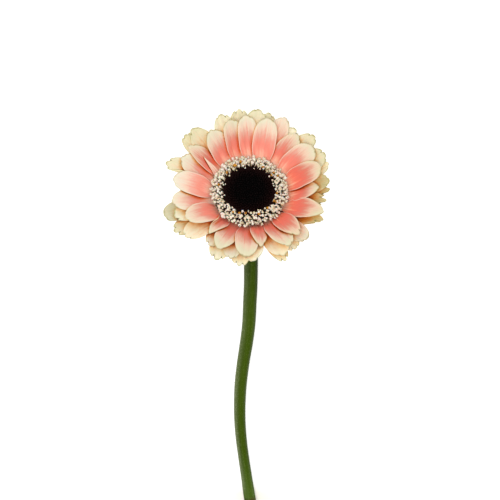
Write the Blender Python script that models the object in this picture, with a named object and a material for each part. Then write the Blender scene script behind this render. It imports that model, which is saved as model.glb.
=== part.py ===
"""A cut gerbera lying on a surface, with its head turned up on a bent neck.

The row frame has +Z up, the surface at z = 0 and the stem lying along -Y. The head is built
in a frame of its own, which an empty carries: its origin is the middle of the receptacle's
top, +Z is the way the face looks and +Y is uphill in the face. Azimuths in the head run
clockwise from +Y, in degrees. Lengths in the tables below are in millimetres.
"""

import math

import bmesh
import bpy
from mathutils import Matrix, Vector

MM = 0.001
UP = Vector((0, 0, 1))
ROUND_SIDES = 24

# Pose of the head: how far the face leans from straight up, and where its origin lies.
FACE_LEAN = math.radians(40)
HEAD_PLACE = Vector((1.2, 60.3, 22.4)) * MM

# The stem's top end swells into the receptacle, the cushion that carries every floret.
RECEPTACLE_RADIUS = 13.0
RECEPTACLE_PROFILE = (  # (radius, height), from the neck to the top
    (3.2, -10.8),
    (4.4, -9.9),
    (7.2, -8.8),
    (10.8, -7.0),
    (RECEPTACLE_RADIUS, -4.4),
    (RECEPTACLE_RADIUS, -0.6),
    (12.4, 0.0),
)
NECK_POINTS = 6
STEM_SIDES_PER_QUARTER = 5
STEM_ON_SURFACE = (  # (x, y, radius) of the centre line where it lies on the surface
    (1.9, 24.0, 3.10),
    (1.7, 14.0, 3.04),
    (1.3, 5.0, 3.00),
    (0.7, -5.0, 2.94),
    (-0.4, -14.0, 2.88),
    (-1.8, -23.0, 2.78),
    (-2.8, -33.0, 2.68),
    (-3.2, -42.0, 2.58),
    (-3.1, -51.0, 2.50),
    (-2.4, -60.0, 2.42),
    (-1.2, -69.0, 2.38),
    (0.1, -78.0, 2.42),
    (1.4, -87.0, 2.54),
    (2.8, -96.6, 2.66),
)

# Turned outlines of the disc, as (radius, height) from the axis down the outer side.
UNDER_DISC = 0.3
EYE_RADIUS = 11.0
BUDS_PROFILE = (
    (0, 7.6),
    (4.0, 8.0),
    (8.0, 7.9),
    (10.4, 7.2),
    (EYE_RADIUS, 6.0),
    (10.6, UNDER_DISC),
    (0, UNDER_DISC),
)
OPEN_FLORETS_PROFILE = (
    (EYE_RADIUS + 0.3, 7.6),
    (13.0, 8.6),
    (15.4, 8.0),
    (17.6, 6.2),
    (18.0, 4.9),
    (17.0, 4.3),
    (14.6, 2.8),
    (12.7, 0.9),
    (12.0, UNDER_DISC),
    (10.9, UNDER_DISC),
    (EYE_RADIUS + 0.3, 7.6),
)

# The cup of green bracts: its outline up to where the bracts part, and their tips.
BRACTS = 16
BRACT_THICKNESS = 0.6
CUP_PROFILE = ((4.6, -11.0), (7.8, -9.9), (11.6, -8.2), (14.4, -5.8))
BRACT_CLEFT = (16.4, -4.3)
BRACT_TIP = (18.6, -3.2)

# A ray floret's blade.
PETAL_THICKNESS = 0.55
PETAL_SEAT_RADIUS = RECEPTACLE_RADIUS + 0.7
PETAL_ROWS = (0.0, 0.12, 0.26, 0.42, 0.58, 0.72, 0.84, 0.93, 1.0)
CLAW_SHARE = 0.32  # width where it leaves the receptacle, of the full width
WIDEST_AT = 0.6  # how far along it is widest
TIP_ROUNDING = 0.97  # 1 would end it in a point
SETTLED_AT = 0.4  # how far along it reaches its own level and roll
CHANNEL = 0.12  # how far its edges stand above its midline, of its half width

# Each whorl of ray florets: where its petals leave the receptacle's wall and how they rise.
# A petal is (tip azimuth, reach, width, level, roll, drop): level lifts the blade off its
# neighbours, roll raises its anticlockwise edge and drop lessens how steeply it rises.
WHORLS = {
    "quill": {
        "seat_height": 0.4,
        "base_lift": 42,
        "tip_lift": 22,
        "first_azimuth": 316,
        "petals": [
            (308, 25.5, 3.4, 0, 0, 0),
        ],
    },
    "inner": {
        "seat_height": -0.7,
        "base_lift": 42,
        "tip_lift": 14,
        "first_azimuth": 4,
        "petals": [
            (358, 36.2, 8.6, 0.2, 7, 0),
            (14, 35.5, 10.0, 0.9, 3, 0),
            (40, 35.1, 9.6, -0.7, 0, 0),
            (56, 35.9, 11.0, 0, 8, 0),
            (74, 34.6, 10.2, 0.9, 2, 0),
            (89, 32.4, 9.0, -0.4, -6, 0),
            (112, 37.0, 10.0, -0.4, 0, 0),
            (138, 34.0, 9.0, 0.8, 0, 0),
            (149, 36.7, 9.6, -0.2, -8, 0),
            (169, 31.0, 7.4, 0.7, -10, 0),
            (182, 36.4, 9.8, -0.4, -7, 0),
            (204, 35.0, 9.2, -1.0, 0, 0),
            (219, 29.5, 7.4, 0.3, 9, 0),
            (240, 33.2, 10.0, 0.8, 0, 0),
            (257, 36.2, 10.4, -0.7, 0, 0),
            (275, 34.8, 10.6, 0.8, 0, 0),
            (295, 34.5, 9.2, -0.9, 0, 0),
            (308, 34.6, 8.2, -0.2, 10, 0),
            (329, 34.0, 10.4, 0, 7, 0),
            (346, 35.2, 9.0, 0, 8, 0),
        ],
    },
    "middle": {
        "seat_height": -2.1,
        "base_lift": 34,
        "tip_lift": 11,
        "first_azimuth": 357,
        "petals": [
            (6, 40.0, 10.2, 0, 8, 0),
            (25, 39.6, 9.4, 0, 8, 0),
            (47, 40.2, 9.2, 0, 9, 0),
            (63, 39.4, 9.6, 0, 9, 0),
            (84, 37.4, 9.0, 0, 9, 0),
            (100, 36.2, 8.6, 0, 9, 0),
            (115, 37.7, 9.0, 0, 6, 0),
            (134, 37.4, 9.0, 0, 4, 0),
            (155, 37.6, 10.4, 0, 4, 0),
            (178, 38.0, 10.4, 0, 6, 0),
            (193, 36.6, 8.8, 0, 6, 0),
            (211, 34.0, 9.0, 0, 4, 0),
            (228, 38.6, 10.0, 0, 4, 0),
            (247, 37.2, 9.6, 0, 4, 0),
            (268, 33.5, 9.6, 0, 4, 0),
            (289, 39.6, 9.6, 0, 4, 0),
            (320, 39.4, 10.4, 0, 4, 0),
            (341, 39.2, 9.6, 0, 4, 0),
        ],
    },
    "outer": {
        "seat_height": -3.5,
        "base_lift": 28,
        "tip_lift": 9,
        "first_azimuth": 342,
        "petals": [
            (354, 40.8, 9.4, 0, 4, 1),
            (13, 41.0, 9.6, 0, 4, 2),
            (34, 41.0, 10.0, 0, 4, 3),
            (68, 39.6, 9.6, 0, 4, 0),
            (88, 37.4, 9.4, 0, 4, 0),
            (113, 36.4, 9.0, 0, 4, 0),
            (144, 36.8, 8.2, 0, 7, 0),
            (155, 39.4, 7.8, 0, 7, 0),
            (186, 38.6, 9.6, 0, 4, 0),
            (203, 38.0, 10.0, 0, 4, 0),
            (238, 40.2, 9.6, 0, 4, 0),
            (253, 41.2, 9.4, 0, 4, 0),
            (281, 35.0, 9.2, 0, 4, 0),
            (315, 40.8, 10.0, 0, 4, 2),
        ],
    },
}


def material(name, colour, roughness):
    made = bpy.data.materials.new(name)
    made.use_nodes = True
    shader = made.node_tree.nodes["Principled BSDF"]
    shader.inputs["Base Color"].default_value = (*colour, 1.0)
    shader.inputs["Roughness"].default_value = roughness
    shader.inputs["Metallic"].default_value = 0.0
    return made


def add(name, data, finish, parent=None):
    data.materials.append(finish)
    obj = bpy.data.objects.new(name, data)
    bpy.context.scene.collection.objects.link(obj)
    obj.parent = parent
    return obj


def mesh_from(name, bm):
    """A smooth mesh from a bmesh, with its normals made to agree."""
    bmesh.ops.recalc_face_normals(bm, faces=bm.faces)
    mesh = bpy.data.meshes.new(name)
    bm.to_mesh(mesh)
    bm.free()
    mesh.shade_smooth()
    mesh.set_sharp_from_angle(angle=math.radians(40))
    return mesh


def thicken(obj, thickness):
    """Gives a surface a thickness, half to each side."""
    shell = obj.modifiers.new("thickness", "SOLIDIFY")
    shell.thickness = thickness * MM
    shell.offset = 0


def facing(azimuth):
    """The direction in the face at an azimuth, clockwise from +Y."""
    a = math.radians(azimuth)
    return Vector((math.sin(a), math.cos(a), 0))


def smoothstep(t):
    t = min(max(t, 0), 1)
    return t * t * (3 - 2 * t)


def turned(name, profile, finish, parent):
    """A solid of revolution about the head's axis."""
    bm = bmesh.new()
    outline = [bm.verts.new((r * MM, 0, z * MM)) for r, z in profile]
    edges = [bm.edges.new(pair) for pair in zip(outline, outline[1:])]
    bmesh.ops.spin(
        bm,
        geom=outline + edges,
        axis=UP,
        angle=math.tau,
        steps=ROUND_SIDES,
        use_merge=True,
    )
    bmesh.ops.remove_doubles(bm, verts=bm.verts, dist=1e-6)
    return add(name, mesh_from(name, bm), finish, parent)


def stem_route():
    """Points (place, radius) down the receptacle, round the bent neck and along the surface."""
    face = Matrix.Rotation(-FACE_LEAN, 3, "X") @ UP
    route = [(HEAD_PLACE + face * (z * MM), r * MM) for r, z in reversed(RECEPTACLE_PROFILE)]
    neck, neck_radius = route[-1]
    x, y, landing_radius = (n * MM for n in STEM_ON_SURFACE[0])
    landing = Vector((x, y, landing_radius))
    # The neck is a cubic Bezier that leaves the receptacle square to it and lands level.
    pull = (landing - neck).length * 0.4
    handles = (neck, neck - face * pull, landing + Vector((0, pull, 0)), landing)
    for i in range(1, NECK_POINTS + 1):
        t = i / (NECK_POINTS + 1)
        weights = ((1 - t) ** 3, 3 * t * (1 - t) ** 2, 3 * t * t * (1 - t), t**3)
        place = sum((h * w for h, w in zip(handles, weights)), Vector())
        route.append((place, neck_radius + (landing_radius - neck_radius) * t))
    for x, y, radius in STEM_ON_SURFACE:
        route.append((Vector((x, y, radius)) * MM, radius * MM))
    return route


def stem(finish):
    """The stem and the receptacle it swells into, as one tube of changing radius."""
    curve = bpy.data.curves.new("stem", "CURVE")
    curve.dimensions = "3D"
    curve.bevel_depth = MM
    curve.bevel_resolution = STEM_SIDES_PER_QUARTER - 1
    curve.use_fill_caps = True
    route = stem_route()
    spline = curve.splines.new("POLY")
    spline.points.add(len(route) - 1)
    for point, (place, radius) in zip(spline.points, route):
        point.co = (*place, 1)
        point.radius = radius / MM
    return add("stem", curve, finish)


def involucre(finish, parent):
    """The cup of bracts, grown together below and parted into pointed tips above."""
    bm = bmesh.new()
    columns = []
    for c in range(2 * BRACTS):
        way = facing(c * 180 / BRACTS)
        end = BRACT_TIP if c % 2 else BRACT_CLEFT
        columns.append([bm.verts.new((way * r + UP * z) * MM) for r, z in (*CUP_PROFILE, end)])
    for column, beside in zip(columns, columns[1:] + columns[:1]):
        for k in range(len(CUP_PROFILE)):
            bm.faces.new((column[k], column[k + 1], beside[k + 1], beside[k]))
    obj = add("involucre", mesh_from("involucre", bm), finish, parent)
    thicken(obj, BRACT_THICKNESS)
    return obj


def half_width(u, width):
    """Half a petal's width at u along it: a narrow claw, a broad blade and a round tip."""
    rise = CLAW_SHARE + (1 - CLAW_SHARE) * smoothstep(u / WIDEST_AT)
    beyond = max(0, (u - WIDEST_AT) / (1 - WIDEST_AT)) * TIP_ROUNDING
    return width / 2 * rise * math.sqrt(1 - beyond * beyond)


def petal_mesh(name, seat, tip, lifts, width, level, roll):
    """One blade: its midline is an arc from seat to tip, and across it is a shallow channel."""
    base_lift, tip_lift = lifts
    along = tip - seat
    reach = along.length
    along.normalize()
    across = along.cross(UP)
    bend = tip_lift - base_lift
    radius = reach / (math.sin(tip_lift) - math.sin(base_lift))
    bm = bmesh.new()
    rows = []
    for u in PETAL_ROWS:
        lift = base_lift + bend * u
        out = radius * (math.sin(lift) - math.sin(base_lift))
        rise = radius * (math.cos(base_lift) - math.cos(lift))
        settled = smoothstep(u / SETTLED_AT)
        middle = seat + along * out + UP * (rise + level * settled)
        face = UP * math.cos(lift) - along * math.sin(lift)
        side = across * math.cos(roll * settled) - face * math.sin(roll * settled)
        half = half_width(u, width)
        row = [middle + side * (half * v) + face * (CHANNEL * half * v * v) for v in (-1, 0, 1)]
        rows.append([bm.verts.new(place * MM) for place in row])
    for row, after in zip(rows, rows[1:]):
        for k in (0, 1):
            bm.faces.new((row[k], row[k + 1], after[k + 1], after[k]))
    return mesh_from(name, bm)


def ray_florets(finish, parent):
    """Every petal, whorl by whorl, seated evenly round the receptacle's wall."""
    for whorl, facts in WHORLS.items():
        seats = len(facts["petals"])
        for i, (azimuth, reach, width, level, roll, drop) in enumerate(facts["petals"]):
            height = UP * facts["seat_height"]
            seat = facing(facts["first_azimuth"] + i * 360 / seats) * PETAL_SEAT_RADIUS + height
            tip = facing(azimuth) * reach + height
            lifts = [math.radians(facts[end] - drop) for end in ("base_lift", "tip_lift")]
            name = f"ray_floret_{whorl}_{i + 1:02d}"
            mesh = petal_mesh(name, seat, tip, lifts, width, level, math.radians(roll))
            thicken(add(name, mesh, finish, parent), PETAL_THICKNESS)


def main():
    for obj in list(bpy.data.objects):
        bpy.data.objects.remove(obj)

    petal_pink = material("petal_pink", (0.90, 0.42, 0.33), 0.5)
    stem_green = material("stem_green", (0.10, 0.18, 0.03), 0.5)
    bract_green = material("bract_green", (0.16, 0.25, 0.07), 0.6)
    floret_cream = material("floret_cream", (0.75, 0.66, 0.52), 0.6)
    bud_black = material("bud_black", (0.012, 0.006, 0.008), 0.5)

    head = bpy.data.objects.new("head", None)
    bpy.context.scene.collection.objects.link(head)
    head.location = HEAD_PLACE
    head.rotation_euler = (-FACE_LEAN, 0, 0)

    turned("disc_buds", BUDS_PROFILE, bud_black, head)
    turned("disc_open_florets", OPEN_FLORETS_PROFILE, floret_cream, head)
    ray_florets(petal_pink, head)
    involucre(bract_green, head)
    stem(stem_green)


main()
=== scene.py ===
"""A cut gerbera lying on a white table, with its head turned up on a bent neck."""

import random
from math import atan2, cos, pi, radians, sin, sqrt, tau

import bpy
import numpy as np
from mathutils import Matrix, Vector
from mathutils.bvhtree import BVHTree


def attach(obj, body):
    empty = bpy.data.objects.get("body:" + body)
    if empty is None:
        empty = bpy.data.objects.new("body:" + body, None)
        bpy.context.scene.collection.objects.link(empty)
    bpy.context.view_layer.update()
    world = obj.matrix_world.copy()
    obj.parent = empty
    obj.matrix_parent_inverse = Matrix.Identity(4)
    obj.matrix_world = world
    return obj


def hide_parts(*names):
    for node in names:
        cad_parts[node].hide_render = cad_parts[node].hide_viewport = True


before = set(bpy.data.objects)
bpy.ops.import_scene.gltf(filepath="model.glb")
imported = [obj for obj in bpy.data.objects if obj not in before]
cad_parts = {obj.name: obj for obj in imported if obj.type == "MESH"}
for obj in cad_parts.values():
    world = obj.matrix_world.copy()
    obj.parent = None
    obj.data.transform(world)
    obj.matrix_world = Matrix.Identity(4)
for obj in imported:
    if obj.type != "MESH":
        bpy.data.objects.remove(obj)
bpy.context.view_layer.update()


# ---------------------------------------------------------------- Stem and receptacle
# The flower stalk is one leafless green stem, finely ribbed along its length. At the top it
# bends up and swells into the receptacle, the fleshy cushion that every floret is seated on.

MM = 0.001
FACE_LEAN = radians(40)  # how far the face of the flower leans from straight up
HEAD = Matrix.Translation(Vector((1.2, 60.3, 22.4)) * MM) @ Matrix.Rotation(-FACE_LEAN, 4, "X")

RECEPTACLE_PROFILE = (  # (radius, height) in the head, from the top down to the neck
    (12.4, 0.0), (13.0, -0.6), (13.0, -4.4), (10.8, -7.0), (7.2, -8.8), (4.4, -9.9), (3.2, -10.8),
)
NECK_POINTS = 6
NECK_PULL = 0.4  # how long the bend's two handles are, of the way from the neck to the table
STEM_ON_TABLE = (  # (x, y, radius) of the centre line where it lies on the table
    (2.1, 24.0, 3.29), (2.0, 14.0, 3.25), (1.6, 5.0, 3.20), (1.1, -5.0, 3.15), (0.0, -14.0, 3.09),
    (-1.4, -23.0, 2.98), (-2.6, -33.0, 2.90), (-3.1, -42.0, 2.79), (-3.1, -51.0, 2.69),
    (-2.5, -60.0, 2.61), (-1.4, -69.0, 2.55), (-0.1, -78.0, 2.60), (1.2, -87.0, 2.76),
    (2.7, -96.6, 2.87),
)
STEM_STEP = 0.9
STEM_SIDES = 66
STEM_RIBS = 11.0
RIB_DEPTH = 0.022  # of the stem's radius


def colour(web):
    """A colour for a shader from its web notation."""
    parts = [int(web[i : i + 2], 16) / 255 for i in (0, 2, 4)]
    return (*(p / 12.92 if p <= 0.04045 else ((p + 0.055) / 1.055) ** 2.4 for p in parts), 1)


def fill(node, sockets):
    """Gives a node's sockets plain values, colours in web notation or other nodes' outputs."""
    for key, value in dict(sockets).items():
        socket = node.inputs[key]
        if isinstance(value, bpy.types.NodeSocket):
            node.id_data.links.new(value, socket)
        else:
            socket.default_value = colour(value) if socket.type == "RGBA" else value
    return node


def put(tree, kind, sockets=(), **settings):
    """Adds a node to a tree."""
    node = tree.nodes.new(kind)
    for name, value in settings.items():
        setattr(node, name, value)
    return fill(node, sockets)


def result(kind, sockets, number=0, **settings):
    """An output of a new node in the tree that its sockets' values come from."""
    sockets = dict(sockets)
    tree = next(v.id_data for v in sockets.values() if isinstance(v, bpy.types.NodeSocket))
    return put(tree, kind, sockets, **settings).outputs[number]


def sums(operation, *values):
    """The result of a Math node, or of a chain of them where there are more than two values."""
    first = result("ShaderNodeMath", enumerate(values[:2]), operation=operation)
    return sums(operation, first, *values[2:]) if values[2:] else first


def plus(*values):
    return sums("ADD", *values)


def times(*values):
    return sums("MULTIPLY", *values)


def arrows(operation, first, second):
    """The result of a Vector Math node."""
    sockets = {0: first, "Scale" if operation == "SCALE" else 1: second}
    return result("ShaderNodeVectorMath", sockets, operation=operation)


def apart(arrow):
    """A vector's three numbers."""
    return put(arrow.id_data, "ShaderNodeSeparateXYZ", {0: arrow}).outputs


def together(*numbers):
    """The vector of three numbers."""
    return result("ShaderNodeCombineXYZ", enumerate(numbers))


def grown_by(name, **sizes):
    """A new geometry tree with named inputs, its input sockets by name, and its output node."""
    kinds = {float: "Float", int: "Int", "object": "Object", "finish": "Material"}
    tree = bpy.data.node_groups.new(name, "GeometryNodeTree")
    for way in ("INPUT", "OUTPUT"):
        tree.interface.new_socket("Geometry", in_out=way, socket_type="NodeSocketGeometry")
    for size, kind in sizes.items():
        tree.interface.new_socket(size, in_out="INPUT", socket_type="NodeSocket" + kinds[kind])
    inputs = {s.name: s for s in put(tree, "NodeGroupInput").outputs}
    return tree, inputs, put(tree, "NodeGroupOutput")


def add(name, data):
    """A new object in the scene."""
    thing = bpy.data.objects.new(name, data)
    bpy.context.scene.collection.objects.link(thing)
    return thing


def grow(name, tree, **sizes):
    """Runs a geometry tree with these sizes and returns the plain mesh that it makes."""
    bed = add(name, bpy.data.meshes.new(name + "_bed"))
    growth = bed.modifiers.new(name, "NODES")
    growth.node_group = tree
    for socket in tree.interface.items_tree:
        if socket.in_out == "INPUT" and socket.name in sizes:
            growth[socket.identifier] = sizes[socket.name]
    bpy.context.view_layer.update()
    graph = bpy.context.evaluated_depsgraph_get()
    grown = bed.evaluated_get(graph)
    mesh = bpy.data.meshes.new_from_object(grown, preserve_all_data_layers=True, depsgraph=graph)
    bed.modifiers.remove(growth)
    bpy.data.objects.remove(bed)
    mesh.name = name
    return mesh


def shape_of(model):
    """The shape of an object that a tree has been given."""
    return put(model.id_data, "GeometryNodeObjectInfo", {"Object": model}).outputs["Geometry"]


def ripen(growth, size, end):
    """Ends a tree: its copies become plain mesh and get their finish."""
    real = result("GeometryNodeRealizeInstances", {0: growth})
    finish = {"Geometry": real, "Material": size["Finish"]}
    fill(end, {0: result("GeometryNodeSetMaterial", finish)})
    return end.id_data


def helper(name, data):
    """A shape that a tree copies or follows, which isn't part of the flower."""
    shape = add(name, data)
    shape.hide_render = True
    return shape


def seat(name, mesh, slot, *nodes):
    """Makes a finished piece of a mesh that is already in place."""
    piece = add(name, mesh)
    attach(piece, "root")
    if nodes:
        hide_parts(*nodes)
    return piece


def new_finish(name):
    """A new material and its tree."""
    finish = bpy.data.materials.new(name)
    finish.use_nodes = True
    return finish, finish.node_tree


def surface(finish, shown, roughness, height=None, relief=0.5, depth=0.0001, **levels):
    """Gives a finish its colour, its roughness, its fine relief and any other levels."""
    sockets = {level.replace("_", " "): value for level, value in levels.items()}
    if height:
        bump = {"Strength": relief, "Distance": depth, "Height": height}
        sockets["Normal"] = result("ShaderNodeBump", bump)
    sockets.update({"Base Color": shown, "Roughness": roughness})
    fill(finish.node_tree.nodes["Principled BSDF"], sockets)
    return finish


def stored(tree, name, kind="Fac"):
    """A value that the mesh carries."""
    return put(tree, "ShaderNodeAttribute", attribute_name=name).outputs[kind]


def ramp(along, stops):
    """A colour that runs through (place, web colour) stops."""
    node = put(along.id_data, "ShaderNodeValToRGB", {0: along})
    elements = node.color_ramp.elements
    while len(elements) < len(stops):
        elements.new(0.5)
    for element, (place, web) in zip(elements, stops):
        element.position = place
        element.color = colour(web)
    return node.outputs[0]


def blend(share, first, second, way="MIX"):
    """The colour mixed from two others."""
    sockets = {0: share, 6: first, 7: second}
    return result("ShaderNodeMix", sockets, 2, data_type="RGBA", blend_type=way)


def from_to(value, low, high, new_low=0.0, new_high=1.0, smooth=True):
    """A value's place between low and high, as a number from new_low to new_high."""
    kind = "SMOOTHSTEP" if smooth else "LINEAR"
    sockets = {0: value, 1: low, 2: high, 3: new_low, 4: new_high}
    return result("ShaderNodeMapRange", sockets, interpolation_type=kind)


def tinted(shown, web, value, low, high, new_low=0.0, new_high=1.0):
    """A colour with another laid over it, by a value's place between low and high."""
    return blend(from_to(value, low, high, new_low, new_high), shown, web)


def noise(tree, scale, detail=2.0, roughness=0.5, place=None):
    """Smooth noise, all through the flower unless it has a place of its own."""
    place = place or put(tree, "ShaderNodeTexCoord").outputs["Object"]
    sockets = {"Vector": place, "Scale": scale, "Detail": detail, "Roughness": roughness}
    return put(tree, "ShaderNodeTexNoise", sockets).outputs[0]


def stem_finish():
    """Deep olive green, painted darker as shade under the flower and down one strip, with a painted grey
    sheen of down along one side, and dark brown at the cut end.
    """
    finish, tree = new_finish("stem_green")
    along = stored(tree, "along")
    x, y, _ = apart(stored(tree, "around", "Vector"))
    fibres = together(x, y, times(along, 9.0))
    streaks = noise(tree, 7.0, 4.0, 0.6, fibres)
    patches = noise(tree, 1.3, place=fibres)
    specks = noise(tree, 1500.0)
    # The green is painted darkest under the flower, as shade from the head, and turns lighter towards the
    # cut end.
    lighter = from_to(along, 0.03, 0.17, smooth=False)
    lighter = plus(lighter, from_to(patches, 0.3, 0.7, -0.06, 0.06))
    greens = ((0.0, "1C2E0A"), (0.16, "2A3A08"), (0.3, "384A08"), (0.75, "364806"), (0.95, "4C6224"))
    green = ramp(lighter, greens)
    # Painted shade: a deeper, more saturated strip down the stem a little off its middle.
    shade_strip_distance = sums("ABSOLUTE", plus(x, 0.28))
    green = tinted(green, "384E00", shade_strip_distance, 0.5, 0.1, 0.0, 0.65)
    green = tinted(green, "5C7028", streaks, 0.48, 0.75, 0.0, 0.25)
    green = tinted(green, "1E2E06", streaks, 0.25, 0.45, 0.4, 0.0)
    # Painted sheen: a grey light along the stem's edges, as on its fine down, strongest down one side.
    painted_sheen = times(
        from_to(x, 0.1, 1.0, 0.0, 0.26), from_to(along, 0.156, 0.15),
        from_to(along, 0.05, 0.13, 0.5, 1.2), from_to(specks, 0.35, 0.65, 0.6, 1.4),
    )
    painted_sheen = plus(painted_sheen, from_to(x, -0.5, -0.95, 0.0, 0.03))
    green = blend(painted_sheen, green, "9AA080")
    green = tinted(green, "8A9A60", specks, 0.55, 0.7, 0.0, 0.1)
    green = tinted(green, "5A4028", along, 0.005, 0.003)
    frayed = plus(along, from_to(streaks, 0.3, 0.7, -0.0006, 0.0006))
    brown = ramp(x, ((0.0, "44381A"), (0.5, "181206")))
    green = tinted(green, brown, frayed, 0.156, 0.1585, 0.0, 0.85)
    sheen = dict(Sheen_Weight=0.08, Sheen_Roughness=0.2, Sheen_Tint="E6EBD2")
    return surface(finish, green, 0.45, streaks, 0.5, Specular_IOR_Level=0.05, **sheen)


def stem_route():
    """Points (place, radius) down the receptacle, round the bent neck and along the table."""
    route = [(HEAD @ Vector((0, 0, z * MM)), r * MM) for r, z in RECEPTACLE_PROFILE]
    neck, neck_radius = route[-1]
    face = HEAD.to_3x3() @ Vector((0, 0, 1))
    x, y, landing_radius = (n * MM for n in STEM_ON_TABLE[0])
    landing = Vector((x, y, landing_radius))
    pull = (landing - neck).length * NECK_PULL
    handles = (neck, neck - face * pull, landing + Vector((0, pull, 0)), landing)
    for i in range(1, NECK_POINTS + 1):
        t = i / (NECK_POINTS + 1)
        weights = ((1 - t) ** 3, 3 * t * (1 - t) ** 2, 3 * t * t * (1 - t), t**3)
        place = sum((h * w for h, w in zip(handles, weights)), Vector())
        route.append((place, neck_radius + (landing_radius - neck_radius) * t))
    for x, y, radius in STEM_ON_TABLE:
        route.append((Vector((x, y, radius)) * MM, radius * MM))
    return route


def stalk_tree():
    """Sweeps a ribbed ring along a route, as thick as the route's own radius."""
    tree, size, end = grown_by(
        "stalk", Route="object", Step=float, Sides=int, Ribs=float, Depth=float, Finish="finish"
    )
    route = {0: shape_of(size["Route"])}
    smooth = result("GeometryNodeCurveSplineType", route, spline_type="CATMULL_ROM")
    spacing = {"Curve": smooth, "Length": size["Step"]}
    spaced = result("GeometryNodeResampleCurve", spacing, mode="LENGTH")
    length = put(tree, "GeometryNodeSplineParameter").outputs["Length"]
    mark = {"Geometry": spaced, "Name": "along", "Value": length}
    marked = result("GeometryNodeStoreNamedAttribute", mark)
    ring = {"Resolution": size["Sides"], "Radius": 1.0}
    ring = result("GeometryNodeCurvePrimitiveCircle", ring)
    spot = put(tree, "GeometryNodeInputPosition").outputs[0]
    mark = {"Geometry": ring, "Name": "around", "Value": spot}
    turned = result("GeometryNodeStoreNamedAttribute", mark, data_type="FLOAT_VECTOR")
    x, y, _ = apart(spot)
    angle = sums("ARCTAN2", y, x)
    wave = sums("COSINE", times(angle, size["Ribs"]))
    groove = times(sums("SUBTRACT", wave, 1.0), size["Depth"])
    ribbed = arrows("SCALE", spot, plus(1.0, groove))
    ribbed = result("GeometryNodeSetPosition", {"Geometry": turned, "Position": ribbed})
    sweep = {"Curve": marked, "Profile Curve": ribbed, "Fill Caps": True}
    sweep["Scale"] = put(tree, "GeometryNodeInputRadius").outputs[0]
    return ripen(result("GeometryNodeCurveToMesh", sweep), size, end)


path = bpy.data.curves.new("stem_route", "CURVE")
path.dimensions = "3D"
points = path.splines.new("POLY").points
route = stem_route()
points.add(len(route) - 1)
for point, (place, radius) in zip(points, route):
    point.co = (*place, 1)
    point.radius = radius
stem_path = helper("stem_route", path)
stem_mesh = grow(
    "stem", stalk_tree(), Route=stem_path, Step=STEM_STEP * MM, Sides=STEM_SIDES, Ribs=STEM_RIBS,
    Depth=RIB_DEPTH, Finish=stem_finish(),
)
stem_mesh.shade_smooth()
stem_mesh.set_sharp_from_angle(angle=radians(50))
bpy.data.objects.remove(stem_path)
stalk = seat("stalk", stem_mesh, "stem", "stem")


def chance(tree, kind, low, high, seed, **more):
    """A random number or vector from low to high."""
    first, number = (0, 0) if kind == "FLOAT_VECTOR" else (2, 1)
    sockets = {first: low, first + 1: high, "Seed": seed, **more}
    return put(tree, "FunctionNodeRandomValue", sockets, data_type=kind).outputs[number]


def plant(size, end, rotation, turn=None, **sockets):
    """Ends a tree with copies of a shape at some points, each turned in its own way."""
    if turn:
        turning = {"Rotation": rotation, "Rotate By": turn}
        rotation = result("FunctionNodeRotateRotation", turning, rotation_space="LOCAL")
    copies = {"Rotation": rotation, **sockets}
    return ripen(result("GeometryNodeInstanceOnPoints", copies), size, end)


def hairs_tree():
    """Short tapering hairs that stand at random on a mesh, except where it lies on the table."""
    sizes = dict.fromkeys(("Start", "Stop", "PerSquareMetre", "Length", "Thickness", "Lean"), float)
    tree, size, end = grown_by("hairs", Skin="object", Finish="finish", **sizes)
    along = put(tree, "GeometryNodeInputNamedAttribute", {"Name": "along"}).outputs[0]
    upward = apart(put(tree, "GeometryNodeInputNormal").outputs[0])[2]
    covered = times(
        sums("GREATER_THAN", upward, -0.5),
        sums("GREATER_THAN", along, size["Start"]),
        sums("LESS_THAN", along, size["Stop"]),
    )
    skin = {"Mesh": shape_of(size["Skin"]), "Selection": covered}
    skin.update({"Density": size["PerSquareMetre"], "Seed": 5})
    roots = put(tree, "GeometryNodeDistributePointsOnFaces", skin)
    cone = {"Vertices": 3, "Radius Top": 0.0}
    cone.update({"Radius Bottom": size["Thickness"], "Depth": size["Length"]})
    limits = [arrows("SCALE", (way, way, 0.0), size["Lean"]) for way in (-1.0, 1.0)]
    lean = {0: chance(tree, "FLOAT_VECTOR", *limits, 6)}
    return plant(
        size, end, roots.outputs["Rotation"], result("FunctionNodeEulerToRotation", lean),
        Points=roots.outputs["Points"], Instance=result("GeometryNodeMeshCone", cone),
        Scale=chance(tree, "FLOAT", 0.4, 1.0, 7),
    )


hair_white = surface(new_finish("hair_white")[0], "949A68", 0.6)
hairs = grow(
    "stem_hairs", hairs_tree(), Skin=stalk, Start=0.016, Stop=0.1625, PerSquareMetre=1.8e6,
    Length=0.55 * MM, Thickness=0.018 * MM, Lean=0.5, Finish=hair_white,
)
seat("stem_hairs", hairs, "stem")


def solid(name, places, faces, **carried):
    """A smooth mesh that carries some numbers or vectors at its points."""
    mesh = bpy.data.meshes.new(name)
    mesh.from_pydata(places, [], faces)
    for key, values in carried.items():
        values = np.array(values, np.float32)
        kind, part = ("FLOAT", "value") if values.ndim == 1 else ("FLOAT_VECTOR", "vector")
        mesh.attributes.new(key, kind, "POINT").data.foreach_set(part, values.ravel())
    mesh.shade_smooth()
    return mesh


def turned_mesh(name, outline, sides):
    """A closed solid turned about the z axis, from the top of its outline to the foot."""
    verts, faces, rings, radii = [], [], [], []
    for r, z in outline:
        rings.append((len(verts), 1 if r == 0 else sides))
        for k in range(rings[-1][1]):
            a = tau * k / sides
            verts.append(Vector((r * cos(a), r * sin(a), z)) * MM)
            radii.append(r)
    for (upper, many), (lower, more) in zip(rings, rings[1:]):
        for k in range(sides):
            n = (k + 1) % sides
            four = (upper + k % many, lower + k % more, lower + n % more, upper + n % many)
            faces.append(tuple(dict.fromkeys(four)))  # three where a ring is a single point
    return solid(name, verts, faces, radius=radii)


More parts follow.
